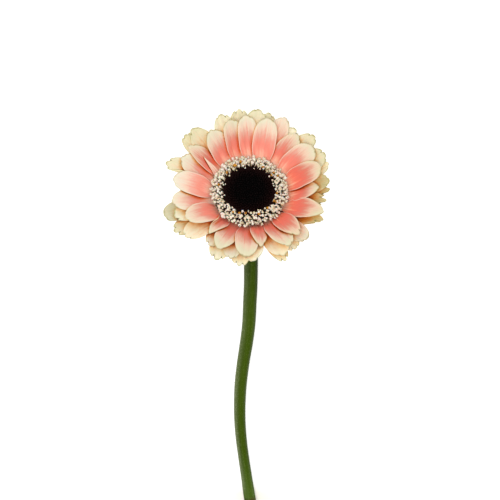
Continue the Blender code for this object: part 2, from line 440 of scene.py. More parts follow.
def pith_finish():
    """A cut left in water: pale spongy pith with a hollow heart, in a browned ring."""
    finish, tree = new_finish("stem_pith")
    sponge = noise(tree, 1800.0, 3.0)
    out = plus(stored(tree, "radius"), from_to(sponge, 0.3, 0.7, -0.3, 0.3))
    rings = (
        (0.1, "4E4A2A"), (0.27, "A8A678"), (0.45, "C4C296"),
        (0.66, "9CA266"), (0.76, "4E5A24"), (0.88, "3E2C16"),
    )
    shown = ramp(sums("DIVIDE", out, 3.0), rings)
    return surface(finish, shown, 0.7, sponge, 0.6)


CUT_OUTLINE = (  # (radius, height), from the hollow heart over the edge and into the stem
    (0.0, 0.08), (0.5, 0.1), (0.85, 0.3), (1.5, 0.36), (2.1, 0.34),
    (2.5, 0.24), (2.72, 0.04), (2.7, -0.3), (0.0, -0.3),
)
CUT_SIDES = 48
cut = turned_mesh("stem_cut_end", CUT_OUTLINE, CUT_SIDES)
cut.materials.append(pith_finish())
end = route[-1][0]
outward = (end - route[-2][0]).to_track_quat("Z", "Y")
cut.transform(Matrix.Translation(end) @ outward.to_matrix().to_4x4())
seat("stem_cut_end", cut, "stem")


# ---------------------------------------------------------------- Involucre
# The green cup under the flower is some fifty narrow pointed bracts in four rows, the outer
# ones shorter. They are fleshy, grow from the receptacle's underside and press against it.

BRACT_ROWS = (  # (bracts, full width, (radius, height) from root to tip), the inner row first
    (18, 4.0, ((4.4, -10.9), (7.8, -9.8), (11.6, -8.1), (14.5, -5.7), (16.7, -4.3), (18.7, -3.1))),
    (16, 3.7, ((4.2, -11.2), (7.8, -10.3), (11.7, -8.7), (14.4, -6.7), (16.6, -5.0))),
    (14, 3.2, ((4.0, -11.5), (7.2, -10.9), (10.6, -9.7), (13.0, -8.2), (14.4, -7.0))),
    (9, 2.6, ((3.7, -12.0), (5.6, -11.7), (8.0, -11.1), (10.2, -10.3))),
)
BRACT_THICKNESS = 0.45
BRACT_STATIONS = 9
BRACT_SECTION = (  # (across, lift) round a bract, keeled on the side that shows
    (-1, 0), (-0.5, -0.62), (0, -1), (0.5, -0.62), (1, 0), (0.5, 0.2), (-0.5, 0.2),
)
NARROWEST_CUP = 3.0  # radius below which a bract turns round the axis no more sharply


def unit(ways):
    """The same directions, each one long."""
    return ways / np.linalg.norm(ways, axis=-1)[..., None]


def through(points, t):
    """The point at t, from 0 to 1, of a smooth line through some points."""
    points = np.array(points, float)
    degree = min(3, len(points) - 1)
    spread = np.linalg.norm(np.diff(points, axis=0), axis=1).cumsum()
    marks = np.r_[0, spread] / spread[-1]
    fits = [np.polyfit(marks, points[:, k], degree) for k in range(points.shape[1])]
    return np.stack([np.polyval(fit, t) for fit in fits], axis=-1)


def tube_faces(rings, sides, inside_out=False):
    """The faces of a tube of rings, closed at both ends."""
    walls = []
    for i in range(rings - 1):
        for k in range(sides):
            a, b = i * sides + k, i * sides + (k + 1) % sides
            walls.append((a, b, b + sides, a + sides))
    last = (rings - 1) * sides
    ends = [tuple(range(sides))[::-1], tuple(range(last, last + sides))]
    if inside_out:
        return [(a, d, c, b) for a, b, c, d in walls] + [end[::-1] for end in ends]
    return walls + ends


def bract_mesh(name, width, outline):
    """One bract: keeled, fleshy and drawn out to a point, laid on the cup at azimuth 0."""
    stations = np.linspace(0, 1, BRACT_STATIONS)
    line = through(outline, stations)
    slope = unit(np.gradient(line, axis=0))
    verts, blade = [], []
    for t, (r, z), (dr, dz) in zip(stations, line, slope):
        half = width / 2 * (0.62 + 0.38 * sin(pi * min(t, 0.5))) * (1 - t**3.2) + 0.06
        thick = BRACT_THICKNESS * (1.15 - 0.75 * t)
        for v, lift in BRACT_SECTION:
            out, up = r - dz * lift * thick, z + dr * lift * thick
            angle = v * half / max(out, NARROWEST_CUP)
            verts.append(Vector((sin(angle) * out, cos(angle) * out, up)) * MM)
            blade.append((v, t, 0.0))
    faces = tube_faces(BRACT_STATIONS, len(BRACT_SECTION), inside_out=True)
    return solid(name, verts, faces, blade=blade)


def bract_finish():
    """Mid green, darker down the keel and reddish at the tip, with a grey-green down."""
    finish, tree = new_finish("bract_green")
    across, along, _ = apart(stored(tree, "blade", "Vector"))
    patches = noise(tree, 320.0, 3.0)
    down = noise(tree, 2400.0)
    green = ramp(
        plus(along, from_to(patches, 0.3, 0.7, -0.12, 0.12)),
        ((0.0, "7C8F4A"), (0.3, "5B7430"), (0.75, "4A6326"), (0.93, "6A6A34"), (1.0, "7A4A32")),
    )
    green = tinted(green, "93A763", sums("ABSOLUTE", across), 0.55, 1.0, 0.0, 0.6)
    green = tinted(green, "B4BD98", down, 0.52, 0.7, 0.0, 0.5)
    sheen = dict(Sheen_Weight=0.3, Sheen_Tint="E6EBD2")
    return surface(finish, green, 0.6, down, 0.4, 0.00012, **sheen)


def bract_row_tree():
    """Sets copies of one bract round the head's axis, each a little unlike the next."""
    tree, size, end = grown_by(
        "bract_row", Bract="object", Count=int, First=float, Sway=float, Seed=int, Finish="finish"
    )
    index = put(tree, "GeometryNodeInputIndex").outputs[0]
    unlike = chance(tree, "FLOAT_VECTOR", (-1.0,) * 3, (1.0,) * 3, size["Seed"], ID=index)
    sway_x, sway_y, sway_z = apart(arrows("SCALE", unlike, size["Sway"]))
    turn = times(index, sums("DIVIDE", tau, size["Count"]))
    turn = plus(turn, size["First"], times(sway_z, 2.5))
    turning = {0: together(sway_x, sway_y, turn)}
    spots = result("GeometryNodePoints", {"Count": size["Count"]})
    turning = result("FunctionNodeEulerToRotation", turning)
    return plant(size, end, turning, Points=spots, Instance=shape_of(size["Bract"]))


bract_green = bract_finish()
bract_tree = bract_row_tree()
for row, (count, width, outline) in enumerate(BRACT_ROWS):
    bract = helper("bract", bract_mesh("bract", width, outline))
    mesh = grow(
        f"bracts_row_{row + 1}", bract_tree, Bract=bract, Count=count,
        First=radians(7.0 * row + 3.0), Sway=radians(0.9), Seed=row + 1, Finish=bract_green,
    )
    bpy.data.objects.remove(bract)
    mesh.transform(HEAD)
    seat(mesh.name, mesh, "bracts", "involucre")


# ---------------------------------------------------------------- Ray florets
# The petals are ray florets: thin straps with a narrow claw seated on the receptacle's wall,
# ribbed lengthwise, cupped, and ending in three small teeth. Coral at the base runs out to
# cream, and the lower whorls, which the upper ones shade, are mostly cream.

PETAL_THICKNESS = 0.36
PETAL_COLUMNS = 33
PETAL_ROWS = 37
WIDEST_AT = 0.5  # how far along it is widest
FULLNESS = 1.08  # of the CAD blade's width
ROLL_RADIUS = 0.7
LOOKS = 10  # directions in which a point of a petal looks for others, and how far it looks
CROWD_REACH = 6.0
LONGER_SIDE = radians(335)  # azimuth of the longest petals
# How deep each upper petal's colour is, from 0 for the palest to 1: partly the petals' own colour, partly
# painted shade where a petal gets less light.
BLUSH_AND_SHADE = (
    (0.4, 0.4, 0.75, 0.6, 1.0, 0.9, 1.0, 1.0, 0.8, 0.85)
    + (0.7, 0.7, 0.7, 0.45, 0.2, 0.0, 0.25, 0.75, 0.5, 0.6)
)


def blade_lines(node):
    """A CAD petal's midline, half-widths and sideways directions in the head, claw to tip."""
    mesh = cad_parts[node].data
    corners = np.zeros(len(mesh.vertices) * 3, np.float32)
    mesh.vertices.foreach_get("co", corners)
    corners = np.unique(np.round(corners.reshape(-1, 3), 7), axis=0).astype(float)
    inverse = np.array(HEAD.inverted())
    corners = (corners @ inverse[:3, :3].T + inverse[:3, 3]) / MM
    long_way = np.linalg.svd(corners - corners.mean(0))[2][0]
    long_way *= np.sign(long_way[:2] @ corners.mean(0)[:2])
    sideways = np.cross(long_way, (0, 0, 1))
    # Every station along the blade has three points across it, on both of its faces.
    stations = corners[np.argsort(corners @ long_way)].reshape(-1, 6, 3)
    order = np.argsort(stations @ sideways, axis=1)
    stations = np.take_along_axis(stations, order[:, :, None], axis=1)
    left, middle, right = stations.reshape(len(stations), 3, 2, 3).mean(2).transpose(1, 0, 2)
    return middle, (right - left) / 2


def petal_mesh(node, whorl, luck):
    """The fine blade of a petal along its CAD lines, with ribs, curls, teeth and a thin rim."""
    middle, side = blade_lines(node)
    steps = np.linalg.norm(np.diff(middle, axis=0), axis=1)
    length = steps.sum()
    half = np.linalg.norm(side, axis=1).max() * FULLNESS * whorl["wide"]
    side = unit(side)
    even = np.linspace(-1, 1, PETAL_COLUMNS)
    v = 0.7 * np.sin(even * pi / 2) + 0.3 * even
    even = np.linspace(0, 1, PETAL_ROWS)
    t = np.sin(even * pi / 2) * 0.5 + even * 0.5
    teeth = np.zeros_like(v)
    lobe_curl = np.full_like(v, luck.uniform(*whorl["curl"]))
    for sign in (-1, 1):
        notch = sign * luck.uniform(0.2, 0.42)
        teeth += luck.uniform(*whorl["notch"]) * np.exp(-(((v - notch) / 0.075) ** 2))
        past = np.clip((sign * (v - notch)) / 0.1 + 0.5, 0, 1)
        lobe_curl += past * luck.uniform(-1, 1) * whorl["parted"]
    blunt = whorl.get("blunt") or luck.uniform(1.75, 2.25)  # 2 is round, 1 is a straight point
    reach = 1 - whorl["taper"] * (1 - np.clip(1 - np.abs(v) ** blunt, 0, 1) ** (1 / blunt))
    reach -= teeth / length
    azimuth = atan2(middle[-1][0], middle[-1][1])
    longer = whorl["longer"] * max(0, cos(azimuth - LONGER_SIDE))
    u = t[:, None] * reach[None, :] * (1 + longer / length)
    v = np.broadcast_to(v, u.shape)
    edge = t[:, None] * np.ones_like(v)

    spread = np.clip(u / WIDEST_AT, 0, 1)
    claw = whorl["claw"]
    rise = claw + (1 - claw) * spread * spread * (3 - 2 * spread)
    marks = np.r_[0, steps.cumsum()] / length
    line = [np.polyfit(marks, middle[:, k], 5) for k in range(3)]
    spot = np.stack([np.polyval(k, u) for k in line], -1)
    onward = np.stack([np.polyval(np.polyder(k), u) for k in line], -1)
    across = np.stack([np.polyval(np.polyfit(marks, side[:, k], 4), u) for k in range(3)], -1)
    across = unit(across)
    up = unit(np.cross(across, onward))

    # The blade's relief above its midline: a channel, lengthwise ribs, waves and a curled end.
    relief = 0.12 * half * rise * v * v
    swell = np.clip(u * 3, 0, 1) * (1 - 0.6 * u)
    ribs = luck.uniform(0.09, 0.15) * np.cos(pi * (3 * v + luck.uniform(-0.2, 0.2)))
    relief += ribs * swell * (1 - v**8)
    for sign in (-1, 1):
        wave = luck.uniform(0.05, 0.2) * np.sin(u * luck.uniform(7, 12) + luck.uniform(0, 6))
        relief += wave * np.clip(sign * v, 0, 1) ** 3 * np.clip(u * 2 - 0.6, 0, 1)
    relief += lobe_curl * np.clip((u - 0.72) / 0.28, 0, 1) ** 2
    frill = luck.uniform(0.4, 1.0) * whorl["frill"] * np.cos(pi * (3.4 * v + luck.random()))
    relief += frill * np.clip((u - 0.7) / 0.3, 0, 1) ** 1.5
    skew = luck.uniform(-0.25, 0.25) * np.clip((u - 0.5) * 2, 0, 1)
    relief += skew * v
    drift = (luck.uniform(-0.3, 0.3) + whorl["aside"]) * u * u + whorl["sway"] * (1 - u)

    # A rolled margin turns over towards the middle of the petal.
    flat = v * half * rise
    side_rolled, start, turn = whorl.get("roll", (1, 2.0, 0.0))
    past = np.clip(side_rolled * flat - start * half * rise, 0, None)
    angle = np.clip(past / ROLL_RADIUS, 0, turn * np.clip(u * 3 - 0.6, 0, 1))
    spare = past - angle * ROLL_RADIUS
    rolled = ROLL_RADIUS * np.sin(angle) + spare * np.cos(angle)
    flat += side_rolled * (rolled - past)
    relief += ROLL_RADIUS * (1 - np.cos(angle)) + spare * np.sin(angle)

    sheet = spot + across * (flat + drift)[..., None] + up * relief[..., None]
    facing = unit(np.cross(np.gradient(sheet, axis=1), np.gradient(sheet, axis=0)))
    thin = np.sqrt(np.clip(1 - v**6, 0, 1) * (1 - edge**14) * (1 - (1 - edge) ** 14))
    shell = facing * (thin * PETAL_THICKNESS / 2)[..., None]
    rim = np.ones(u.shape, bool)
    rim[1:-1, 1:-1] = False
    top = np.arange(u.size).reshape(u.shape)
    under = top.copy()
    under[~rim] = u.size + np.arange((~rim).sum())

    def both_faces(above, below):
        return np.concatenate([above.reshape(-1, 3), below[~rim]])

    def quads(grid, turn):
        four = (grid[:-1, :-1], grid[:-1, 1:], grid[1:, 1:], grid[1:, :-1])
        return np.stack(four[::turn], -1).reshape(-1, 4).tolist()

    tone = whorl.get("tone", luck.uniform(0.0, 0.3))
    run = whorl["run"][0] + u * (whorl["run"][1] - whorl["run"][0])
    blade = np.stack([v, run, np.full(u.shape, tone)], -1)
    tooth = np.broadcast_to(teeth[None, :], u.shape) * np.clip((edge - 0.93) / 0.07, 0, 1)
    tip = np.clip((edge - 0.86) / 0.14, 0, 1)
    marks = [np.stack([np.full(u.shape, upper), tooth, tip], -1) for upper in (1.0, 0.0)]
    mesh = solid(
        node, both_faces(sheet + shell, sheet - shell) * MM, quads(top, 1) + quads(under, -1),
        blade=both_faces(blade, blade), marks=both_faces(*marks),
    )
    mesh.transform(HEAD)
    return mesh


def find_crevice_shade(petals):
    """Stores on every petal how closely the others stand round each point of its face, as the measure of
    its painted shade.
    """
    places, faces = [], []
    for petal in petals:
        faces += [[len(places) + k for k in face.vertices] for face in petal.data.polygons]
        places += [corner.co.copy() for corner in petal.data.vertices]
    crowding = BVHTree.FromPolygons(places, faces)
    turns = [tau * k / LOOKS for k in range(LOOKS)]
    for petal in petals:
        mesh = petal.data
        shade = np.zeros(len(mesh.vertices), np.float32)
        for k, corner in enumerate(mesh.vertices[: PETAL_ROWS * PETAL_COLUMNS]):
            normal = corner.normal
            side = normal.orthogonal().normalized()
            other = normal.cross(side)
            start = corner.co + normal * 0.1 * MM
            met = 0
            for turn in turns:
                way = (side * cos(turn) + other * sin(turn)) * 0.6 + normal * 0.8
                far = crowding.ray_cast(start, way, CROWD_REACH * MM)[3]
                met += 0 if far is None else 1 - far / (CROWD_REACH * MM)
            shade[k] = met / LOOKS
        mesh.attributes.new("shade", "FLOAT", "POINT").data.foreach_set("value", shade)


def petal_finish(name, pale, deep, rim_colour, flecked):
    """Streaked colour from claw to tip, pale margins, green-tinged teeth, painted shade where other
    petals stand over it, and a paler back. A petal's tone, partly its own colour and partly painted
    shade, sets how far its face is from the pale colours to the deep ones."""
    finish, tree = new_finish(name)
    across, along, tone = apart(stored(tree, "blade", "Vector"))
    upper, tooth, tip = apart(stored(tree, "marks", "Vector"))
    own = times(tone, 37.0)

    def strands(fine, coarse, *character):
        """Noise drawn out along the petal, and unlike on every petal."""
        ways = ((across, fine), (along, coarse))
        place = together(*(times(*way) for way in ways), own)
        return noise(tree, 1.0, *character, place=place)

    streaks = strands(9.0, 1.1, 4.0, 0.6)
    clouds = strands(1.4, 2.2)
    veins = strands(26.0, 1.6)
    flecks = strands(7.0, 16.0, 3.0, 0.7)
    aside = sums("ABSOLUTE", across)
    edge = sums("POWER", aside, 2.2)
    run = plus(
        along,
        from_to(streaks, 0.3, 0.7, -0.05, 0.05),
        from_to(clouds, 0.3, 0.7, -0.05, 0.05),
        from_to(flecks, 0.3, 0.7, -flecked, flecked),
        times(edge, 0.12),
        from_to(tone, 0.0, 1.0, 0.03, -0.03),
    )
    shown = blend(tone, ramp(run, pale), ramp(run, deep))
    shown = blend(from_to(veins, 0.35, 0.65, 0.0, 0.10), shown, "FFFFFF", "OVERLAY")
    # The pale margins are partly the petal's own paler edge and partly painted light shining through the
    # thin edge.
    shown = tinted(shown, "F3E0C8", aside, 0.88, 1.0, 0.0, 0.55)
    shown = blend(times(tip, 0.3), shown, "E6E2BC")
    # The dark rim at the tip is partly the petal's own green-brown edge and partly painted shade along
    # its thin edge.
    rim = from_to(tip, 0.7, 1.0, 0.0, 0.85)
    rim = times(rim, from_to(clouds, 0.35, 0.6))
    shown = blend(rim, shown, rim_colour)
    shown = tinted(shown, "6E6A34", tooth, 0.25, 0.9, 0.0, 0.9)
    # Painted shade: where other petals stand over it the blade is painted a deeper orange, brown right
    # under their edges and nearly black down by the disc.
    shade = stored(tree, "shade")
    share = from_to(along, 0.22, 0.42, 0.35, 1.0)
    share = times(share, from_to(along, 0.7, 1.0, 1.0, 0.5))
    shown = blend(share, shown, ramp(shade, CREVICE_SHADE), "MULTIPLY")
    painted_darkest_shade = from_to(along, 0.24, 0.36, 0.5, 0.0)
    painted_darkest_shade = times(from_to(shade, 0.3, 0.42), painted_darkest_shade)
    shown = blend(painted_darkest_shade, shown, "1E0C06")
    hidden = tinted(ramp(run, PETAL_BACK), "D8B98A", veins, 0.45, 0.7, 0.0, 0.22)
    height = plus(veins, times(streaks, 0.6))
    flesh = dict(Subsurface_Weight=0.06, Subsurface_Radius=(1.0, 0.4, 0.2), Subsurface_Scale=0.001)
    shown = blend(upper, hidden, shown)
    return surface(finish, shown, 0.52, height, 0.35, Specular_IOR_Level=0.3, **flesh)


PETAL_BACK = ((0.1, "C99A62"), (0.4, "E3B98A"), (0.7, "EACFA4"), (1.0, "DCD6AC"))
# Painted shade under other petals, from none to brown right under their edges.
CREVICE_SHADE = ((0.1, "FFFFFF"), (0.24, "FFECD0"), (0.35, "F9CB92"), (0.44, "E09850"), (0.5, "B47A34"))
# The stops by the claw in both coral ramps are painted lighter, as painted light against the shadow that
# the disc casts on the petals' feet.
coral = petal_finish(
    "petal_coral",
    (
        (0.17, "FFD8C4"), (0.29, "FFBAA0"), (0.42, "F69884"), (0.5, "EE8A76"),
        (0.58, "EB937F"), (0.68, "E8A592"), (0.8, "E9C8AF"), (1.0, "E3DAC4"),
    ),
    (
        (0.17, "FFC6AC"), (0.29, "F3A283"), (0.42, "E66C53"), (0.54, "D9624F"),
        (0.64, "CC715B"), (0.74, "CE917A"), (0.84, "D8B398"), (1.0, "CAC29C"),
    ),
    "A08848",
    0.02,
)
cream = petal_finish(
    "petal_cream",
    (
        (0.15, "E06A30"), (0.42, "E8864E"), (0.58, "EEBC96"),
        (0.72, "F1D5AE"), (0.88, "F1E2C1"), (1.0, "EAE0BD"),
    ),
    (
        (0.15, "A03408"), (0.42, "A44412"), (0.58, "B86E22"),
        (0.72, "C88C4A"), (0.86, "BCA46C"), (1.0, "9E9656"),
    ),
    "A09A50",
    0.07,
)
# A paler copy of the cream: painted light for petals that lie in the shade of others.
straw = petal_finish(
    "petal_straw",
    ((0.3, "F3B98C"), (0.55, "FADFC0"), (0.75, "FFF4DC"), (1.0, "FCF4DA")),
    ((0.3, "D08850"), (0.6, "DCBC84"), (1.0, "CCC694")),
    "A09A50",
    0.05,
)
# A darker, olive copy of the cream: painted shade for petals that the inner ones shade.
olive = petal_finish(
    "petal_olive",
    ((0.4, "C89C70"), (0.7, "D8CAAA"), (1.0, "DCD8BE")),
    ((0.4, "A87838"), (0.7, "B4A678"), (1.0, "ACAA7C")),
    "8E8A48",
    0.05,
)
# How petals are: sway shifts the claw and aside the tip, longer is for the longest side, claw is
# its width where it leaves the receptacle, and taper how much of the length its rounded tip takes.
# Its colours run from one place to another, and tone is how deep they are. Notch is how deep its
# teeth are cut, parted how they part, curl how far the end lifts, frill how it waves, blunt how
# round it is, and roll is the side of a rolled margin, where it starts and how far it turns.
USUAL = dict(sway=0, aside=0, longer=1.4, wide=1, claw=0.4, taper=0.32, run=(0, 1), frill=0.3, parted=0.7)
WHORLS = {
    "quill": dict(
        petals=1, finish=coral, notch=(0.0, 0.2), curl=(-0.2, 0.2), sway=-4.5, longer=1.6,
        claw=1.5, taper=0.7, blunt=1.1, run=(0.55, 0.78), tone=0.0, frill=0, parted=0,
    ),
    "inner": dict(
        petals=20, finish=coral, notch=(0.1, 0.6), curl=(-0.8, 0.3), longer=0.5, taper=0.34,
        frill=0.08, parted=0.15,
    ),
    "middle": dict(petals=18, finish=cream, notch=(0.2, 1.2), curl=(-0.6, 0.7)),
    "outer": dict(petals=14, finish=cream, notch=(0.3, 1.3), curl=(-0.6, 0.8)),
}
SPLIT = dict(notch=(0.8, 1.7), parted=1.0)
UNLIKE_THE_REST = {
    "inner_06": dict(blunt=1.5, claw=0.25),
    "inner_07": dict(blunt=1.6, taper=0.42, claw=0.2, run=(0.05, 1.08)),
    "inner_08": dict(blunt=1.6, taper=0.4, run=(0.16, 0.98), notch=(0.5, 1.1)),
    "inner_09": dict(blunt=1.6, run=(0.18, 1.08), notch=(0.5, 1.1)),
    "inner_10": dict(blunt=1.5, taper=0.45, run=(0.16, 1.0), notch=(0.3, 0.8)),
    "inner_11": dict(run=(0.18, 1.1)),
    "inner_12": dict(blunt=1.6, run=(0.18, 1.12), notch=(0.3, 0.8)),
    "inner_13": dict(blunt=1.3, taper=0.5, roll=(1, 0.35, 2.6), run=(0.16, 1.06)),
    "inner_14": dict(run=(0.12, 1.0)),
    "inner_17": dict(wide=1.14, aside=1.0),
    "inner_18": dict(blunt=1.6),
    "middle_02": dict(finish=coral, run=(0, 0.88)),
    # The tones given here to the middle and outer petals are painted shade, deeper where the inner petals
    # shade them more.
    "middle_03": dict(tone=0.35, aside=1.0),
    "middle_04": dict(tone=0.35, wide=1.1),
    "middle_05": dict(tone=0.9),
    "middle_06": dict(tone=1.0, blunt=1.4, parted=1.4, notch=(1.0, 2.2)),
    "middle_07": dict(tone=1.0, blunt=1.2, notch=(0.8, 1.6)),
    "middle_08": dict(finish=coral, tone=0.35, run=(0.1, 1.0)),
    "middle_09": dict(run=(0.0, 0.9)),
    "middle_10": dict(finish=straw, run=(0.2, 1.15), tone=0.0),
    "middle_11": dict(finish=coral, run=(0.15, 1.02), notch=(0.6, 1.4)),
    "middle_12": dict(finish=coral, tone=0.3, run=(0.1, 1.0)),
    "middle_13": dict(run=(0.0, 0.92), notch=(0.7, 1.5), parted=1.0),
    "middle_14": dict(finish=straw),
    "middle_15": dict(aside=-1.2, longer=-4),
    "middle_16": dict(roll=(-1, 0.5, 2.4)),
    "middle_17": dict(tone=0.4),
    "outer_01": dict(curl=(1.3, 1.5), longer=1.9),
    "outer_02": dict(curl=(0.7, 0.9)),
    "outer_03": dict(finish=straw, run=(0.1, 1.1), longer=-2.5, aside=-1.2),
    "outer_05": dict(tone=0.9, blunt=1.4, parted=1.5, notch=(1.0, 2.2)),
    "outer_06": dict(finish=olive, tone=0.6, aside=1.0, blunt=1.1, parted=1.3, notch=(0.8, 1.8)),
    "outer_07": dict(finish=straw, run=(0.3, 1.2), tone=0.0, notch=(0.6, 1.5)),
    "outer_08": SPLIT,
    "outer_09": dict(finish=straw, **SPLIT, run=(0.2, 1.15), tone=0.0),
    "outer_10": dict(finish=straw, **SPLIT, run=(0.15, 1.1)),
    "outer_11": SPLIT,
    "outer_12": dict(finish=olive, tone=0.4, wide=1.08, aside=-1.5, blunt=2.4, notch=(0.0, 0.2)),
    "outer_13": dict(tone=0.2, roll=(-1, 0.3, 2.4)),
}
petals = []
for name, whorl in WHORLS.items():
    for i in range(whorl["petals"]):
        petal = f"{name}_{i + 1:02d}"
        own = {**USUAL, **whorl, **UNLIKE_THE_REST.get(petal, {})}
        if name == "inner":
            own["tone"] = BLUSH_AND_SHADE[i]
        node = "ray_floret_" + petal
        mesh = petal_mesh(node, own, random.Random(100 * whorl["petals"] + i))
        mesh.materials.append(own["finish"])
        petals.append(seat("petal_" + petal, mesh, "petals", node))
find_crevice_shade(petals)


# ---------------------------------------------------------------- Disc
# The middle of the flower is a low dome packed with disc florets, set out in one spiral from
# the centre. The ones that are still buds are near-black and make the flower's dark eye.

DISC_FLOOR = (  # (radius, height) of the dome that the florets stand on
    (0.0, 6.3), (4.0, 6.7), (8.0, 6.6), (10.4, 6.1), (12.6, 6.2), (14.6, 5.7),
    (16.2, 4.7), (16.8, 4.3), (14.6, 2.9), (12.7, 1.0), (12.0, 0.3), (0.0, 0.3),
)
DISC_RADIUS = 18.0
FLOOR_SIDES = 72
BUD_OUTLINE = ((0.26, -0.5), (0.47, 0.2), (0.52, 0.75), (0.38, 1.15), (0.15, 1.42))
BUD_SIDES = 10
GOLDEN_TURN = pi * (3 - sqrt(5))


def bud_mesh():
    """One closed bud, a pointed club with five flutes."""
    verts = []
    for r, z in BUD_OUTLINE:
        for k in range(BUD_SIDES):
            a = tau * k / BUD_SIDES
            flute = r * (1 + (0.1 if k % 2 else -0.1))
            verts.append(Vector((flute * cos(a), flute * sin(a), z)) * MM)
    return solid("bud", verts, tube_faces(len(BUD_OUTLINE), BUD_SIDES))


def bud_finish():
    """Near-black maroon, a little redder towards the rim of the eye."""
    finish, tree = new_finish("bud_black")
    place = put(tree, "ShaderNodeTexCoord").outputs["Object"]
    patches = noise(tree, 900.0)
    dark = ramp(patches, ((0.3, "030303"), (0.55, "070404"), (0.75, "140809")))
    centre = tuple(HEAD @ Vector((0, 0, 7 * MM)))
    out = result("ShaderNodeVectorMath", {0: place, 1: centre}, "Value", operation="DISTANCE")
    dark = tinted(dark, "240D0C", out, 0.006, 0.012, 0.0, 0.45)
    return surface(finish, dark, 0.7, patches, 0.4, Specular_IOR_Level=0.03)


def spiral_tree():
    """Stands copies of a shape on the disc's floor in one golden spiral. Spread sets how far
    apart they are, Lean tips them outwards, and Share keeps only some of them."""
    sizes = ("Spread", "Jitter", "Lean", "Unruly", "Lift", "Smallest", "Largest", "Uneven", "Share")
    sizes = {**dict.fromkeys(("First", "Count", "Seed"), int), **dict.fromkeys(sizes, float)}
    tree, size, end = grown_by("disc_spiral", Shape="object", Floor="object", Finish="finish", **sizes)
    index = put(tree, "GeometryNodeInputIndex").outputs[0]
    number = plus(index, size["First"], 0.6)

    def luck(extra, low, high, kind="FLOAT"):
        seed = plus(size["Seed"], float(extra))
        return chance(tree, kind, low, high, seed, ID=index)

    def any_way(extra, limits, most):
        low = tuple(-limit for limit in limits)
        return arrows("SCALE", luck(extra, low, limits, "FLOAT_VECTOR"), size[most])

    out = times(sums("SQRT", number), size["Spread"])
    turn = times(number, GOLDEN_TURN)
    x, y = (times(out, sums(wave, turn)) for wave in ("COSINE", "SINE"))
    above = together(x, y, 0.02)
    above = arrows("ADD", above, any_way(0, (1.0, 1.0, 0.0), "Jitter"))
    spots = result("GeometryNodePoints", {"Count": size["Count"], "Position": above})
    here = put(tree, "GeometryNodeInputPosition").outputs[0]
    ray = {"Target Geometry": shape_of(size["Floor"]), "Source Position": here}
    ray.update({"Ray Direction": (0.0, 0.0, -1.0), "Ray Length": 0.1})
    fall = put(tree, "GeometryNodeRaycast", ray)
    # A floret leans the way the floor slopes, and further out by Lean at the rim.
    outward = arrows("MULTIPLY", here, (1.0, 1.0, 0.0))
    outward = arrows("SCALE", outward, sums("DIVIDE", size["Lean"], DISC_RADIUS * MM))
    stand = arrows("ADD", fall.outputs["Hit Normal"], outward)
    stand = arrows("ADD", stand, any_way(1, (1.0, 1.0, 0.0), "Unruly"))
    # Both are found before a point drops to the floor, since the ray starts from above it.
    known = put(tree, "GeometryNodeCaptureAttribute", {"Geometry": spots})
    known.capture_items.new("VECTOR", "Stand")
    stand = fill(known, {"Stand": stand}).outputs["Stand"]
    raised = arrows("SCALE", stand, size["Lift"])
    foot = {"Position": arrows("ADD", fall.outputs["Hit Position"], raised)}
    foot = result("GeometryNodeSetPosition", {"Geometry": known.outputs["Geometry"], **foot})
    spin = {"Axis": (0.0, 0.0, 1.0), "Angle": luck(2, 0.0, tau)}
    big = from_to(out, 0.0, DISC_RADIUS * MM, size["Smallest"], size["Largest"], smooth=False)
    big = times(big, luck(3, 0.86, 1.14))
    # No two are quite alike: one is squeezed flat, the next drawn out.
    unlike = arrows("ADD", any_way(5, (1.0, 1.0, 1.0), "Uneven"), (1.0, 1.0, 1.0))
    return plant(
        size, end, result("FunctionNodeAlignRotationToVector", {"Vector": stand}, axis="Z"),
        result("FunctionNodeAxisAngleToRotation", spin), Points=foot,
        Instance=shape_of(size["Shape"]), Scale=arrows("SCALE", unlike, big),
        Selection=sums("LESS_THAN", luck(4, 0.0, 1.0), size["Share"]),
    )


bud_black = bud_finish()
disc_spiral = spiral_tree()
disc_floor = helper("disc_floor", turned_mesh("disc_floor", DISC_FLOOR, FLOOR_SIDES))


def grow_disc(name, model, slot, finish, spread, jitter, lift, replaced=(), **sizes):
    """Grows one kind of floret from a model, all over its part of the disc, and seats it."""
    shape = helper(name + "_model", model)
    sizes.update(Spread=spread * MM, Jitter=jitter * MM, Lift=lift * MM, Finish=finish)
    mesh = grow(name, disc_spiral, Shape=shape, Floor=disc_floor, **sizes)
    bpy.data.objects.remove(shape)
    mesh.transform(HEAD)
    seat(name, mesh, slot, *replaced)


# Spread: a floret's distance from the centre is this times its number's root.
grow_disc(
    "eye_buds", bud_mesh(), "disc_buds", bud_black, spread=0.566, jitter=0.06, lift=-0.05,
    replaced=["disc_buds"], First=0, Count=335, Lean=0.25, Unruly=0.25, Smallest=0.8,
    Largest=1.15, Uneven=0.1, Share=1.0, Seed=3,
)
mesh = disc_floor.data.copy()
mesh.materials.append(bud_black)
mesh.transform(HEAD)
seat("disc_base", mesh, "disc_buds")


# ---------------------------------------------------------------- Open disc florets
# Round the eye the spiral goes on with florets that have opened: fleshy cream tubes, each with five round
# lobes about its mouth, painted browner towards the foot as shade among the others. The first of them
# carry orange pollen on their anthers.

